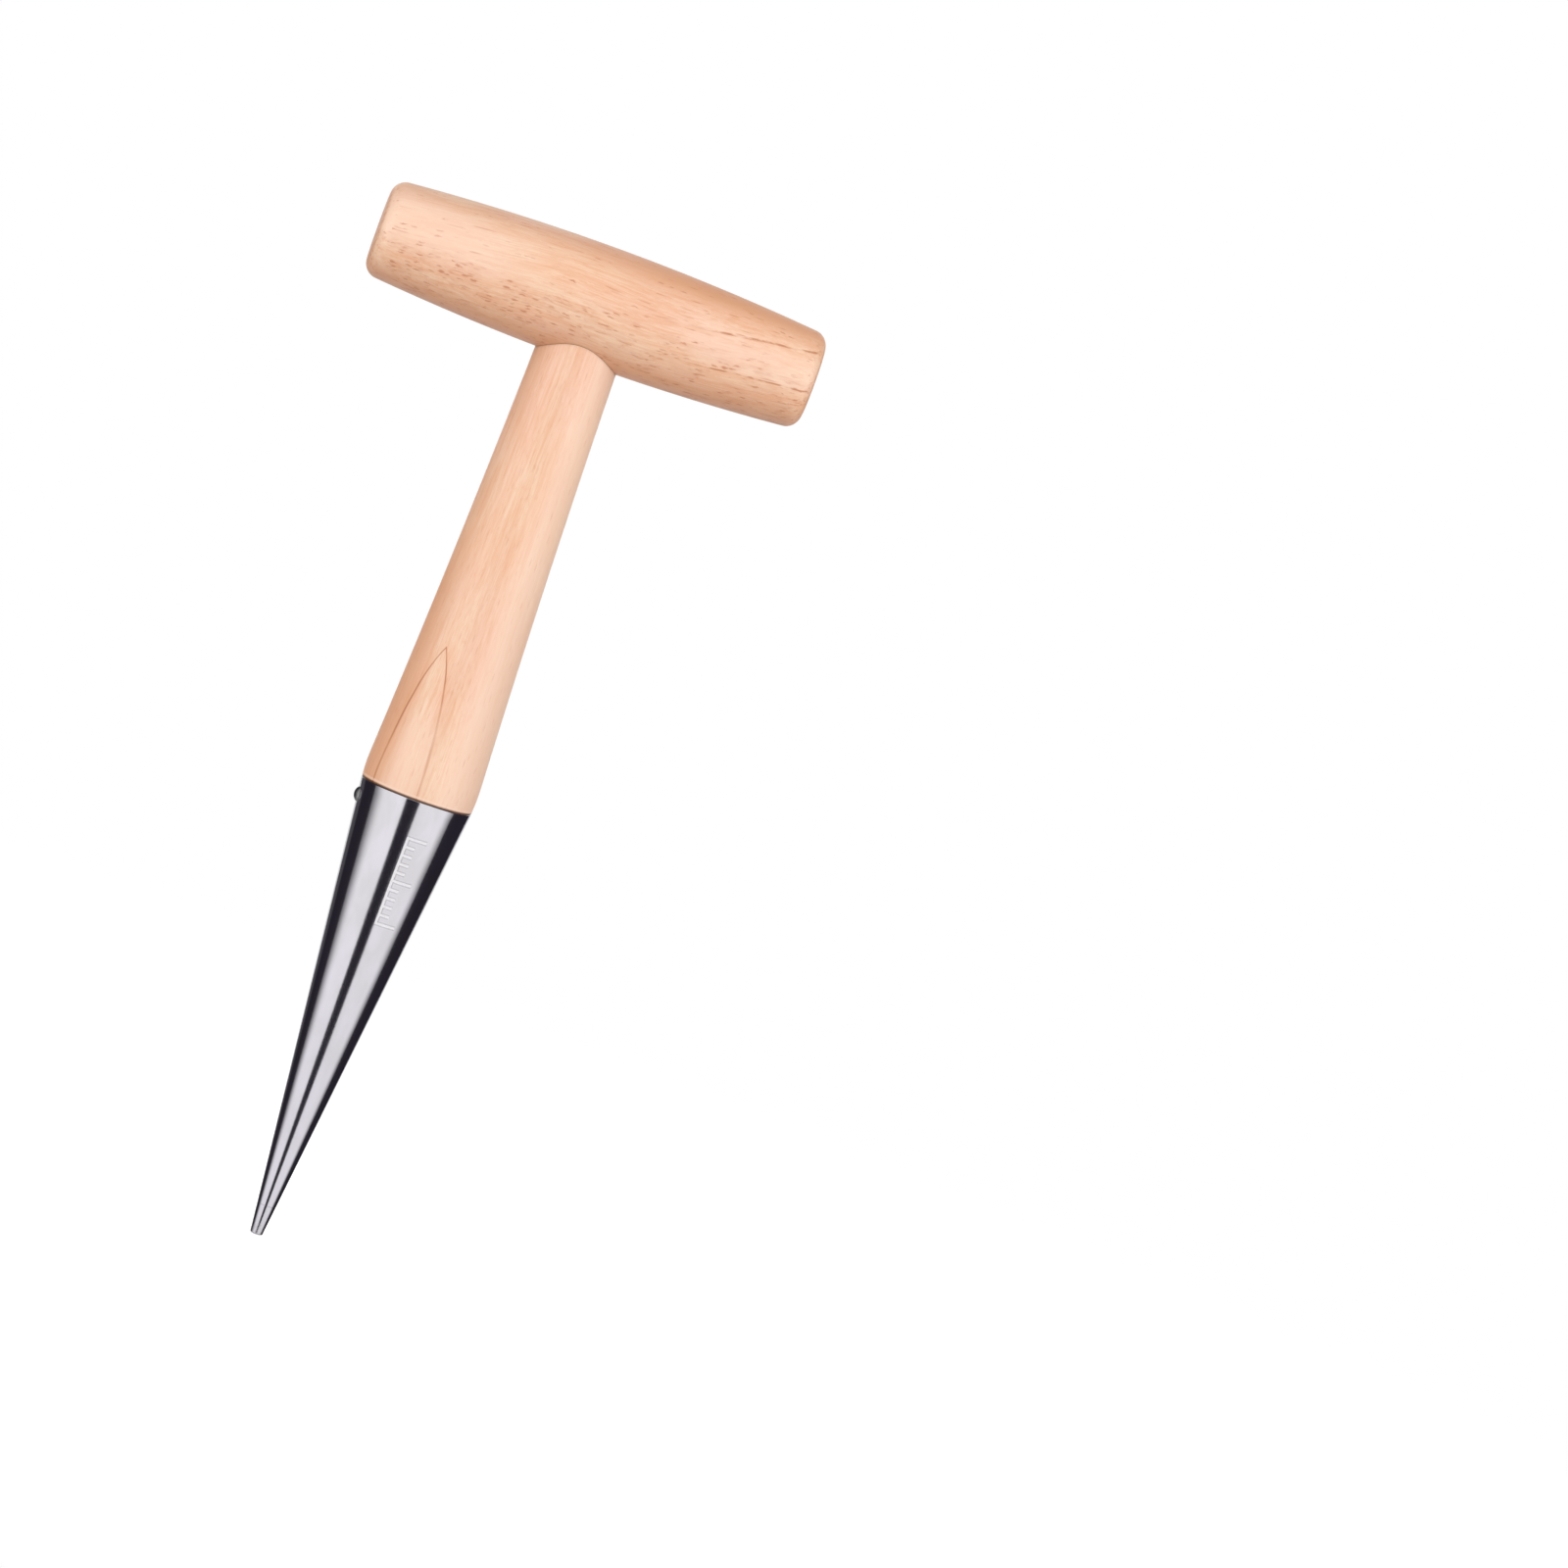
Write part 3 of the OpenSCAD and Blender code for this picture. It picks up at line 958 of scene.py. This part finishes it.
def make_lights():
    """Reflection cards for the steel and the lacquer, and soft lights for the matt wood."""
    left = side_card("card_left", start=-90, stop=-16, radiance=0.97)
    fade_sideways(left, start=0.42, stop=0.0, low=0.2)
    right = side_card("card_right", start=12, stop=90, radiance=0.95)
    fade_sideways(right, start=0.7, stop=1.0, low=0.3)
    side_card("card_far_left", start=-168, stop=-130, radiance=0.06)
    side_card("card_rear", start=154, stop=206, radiance=0.7)
    softbox("card_top", CAMERA_TURN, rise=80, width=1.2, height=1.0, radiance=0.7, on_gloss=True)
    softbox("card_floor", CAMERA_TURN, rise=-90, width=2.4, height=2.4, radiance=0.45, on_gloss=True)
    matt_light("key_left", start=-89, stop=-16, rise=17, height=0.9, radiance=1.85)
    matt_light("key_right", start=12, stop=91, rise=17, height=0.9, radiance=1.88)
    matt_light("back_light", start=150, stop=210, rise=30, height=0.8, radiance=1.6)


WORLD_MATT = (0.44, 0.37, 0.32)
WORLD_GLOSS = (0.022, 0.019, 0.028)
WORLD_SEEN = (1.0, 1.0, 1.0)


def make_world():
    """White where the camera sees it, dark in reflections, and a soft even light on matt surfaces."""
    world = bpy.data.worlds.new("studio")
    world.use_nodes = True
    tree = world.node_tree
    tree.nodes.clear()
    path = tree.nodes.new("ShaderNodeLightPath")

    def shade(value):
        made = tree.nodes.new("ShaderNodeBackground")
        made.inputs["Color"].default_value = (*value, 1.0)
        return made.outputs[0]

    def choose(share, a, b):
        made = tree.nodes.new("ShaderNodeMixShader")
        for socket, value in zip(made.inputs, (share, a, b)):
            tree.links.new(value, socket)
        return made.outputs[0]

    soft = choose(path.outputs["Is Glossy Ray"], shade(WORLD_MATT), shade(WORLD_GLOSS))
    seen = choose(path.outputs["Is Camera Ray"], soft, shade(WORLD_SEEN))
    output = tree.nodes.new("ShaderNodeOutputWorld")
    tree.links.new(seen, output.inputs["Surface"])
    bpy.context.scene.world = world
    bpy.context.scene.view_settings.view_transform = "Standard"


def disc(name, radius, steps=96):
    """A flat round object at the origin that faces up, with its radius in metres."""
    turns = [2 * math.pi * i / steps for i in range(steps)]
    vertices = [(0, 0, 0)] + [(radius * math.cos(t), radius * math.sin(t), 0) for t in turns]
    mesh = bpy.data.meshes.new(name)
    mesh.from_pydata(vertices, [], [(0, i + 1, (i + 1) % steps + 1) for i in range(steps)])
    made = bpy.data.objects.new(name, mesh)
    bpy.context.scene.collection.objects.link(made)
    return made


PAPER_DARK = (0.86, 0.86, 0.86, 1.0)
PAPER_LIGHT = (0.9, 0.9, 0.9, 1.0)


def floor_paper(full_to=100.0, gone_from=700.0):
    """Pale paper that thins out between two distances from the middle in mm, and is clear from below."""
    g = Graph("floor_paper")
    speck = g.noise(g.place, (3, 3, 3), detail=3)
    colour = g.mix(speck, PAPER_DARK, PAPER_LIGHT)
    g.paint(colour, roughness=0.9, height=g.times(speck, 0.05), specular_ior_level=0.0,
            emission_color=(1, 1, 1, 1), emission_strength=0.5)
    fade = g.step(g.vector("LENGTH", g.place), full_to, gone_from)
    behind = g.node("NewGeometry").outputs["Backfacing"]
    thin = g.node("MixShader")
    g.feed(thin.inputs[0], g.maths("MAXIMUM", fade, behind))
    g.feed(thin.inputs[1], g.shader.outputs[0])
    g.feed(thin.inputs[2], g.node("BsdfTransparent").outputs[0])
    g.feed(g.tree.nodes["Material Output"].inputs["Surface"], thin.outputs[0])
    return g.material


def make_floor(radius=3.0, gap=0.0002):
    """A wide pale disc just under the point, which takes no part in reflections or in light on the tool."""
    floor = disc("floor", radius)
    floor.location.z = cad_low.z - gap
    floor.visible_glossy = False
    floor.visible_shadow = False
    floor.visible_diffuse = False
    floor.data.materials.append(floor_paper())


# ---------------------------------------------------------------- the scene

make_camera()
make_world()
make_lights()
make_floor()

finish_piece(make_crossbar(), "crossbar", crossbar_wood())
finish_piece(make_shaft(), "shaft", shaft_wood())
finish_piece(make_cone(), "cone", cone_steel())
finish_piece(make_tip(), "cone_tip", tip_steel())
finish_piece(make_pin(), "cone_pin", pin_steel())

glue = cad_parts["crossbar_glue"]
glue.data.materials.clear()
glue.data.materials.append(glue_material())
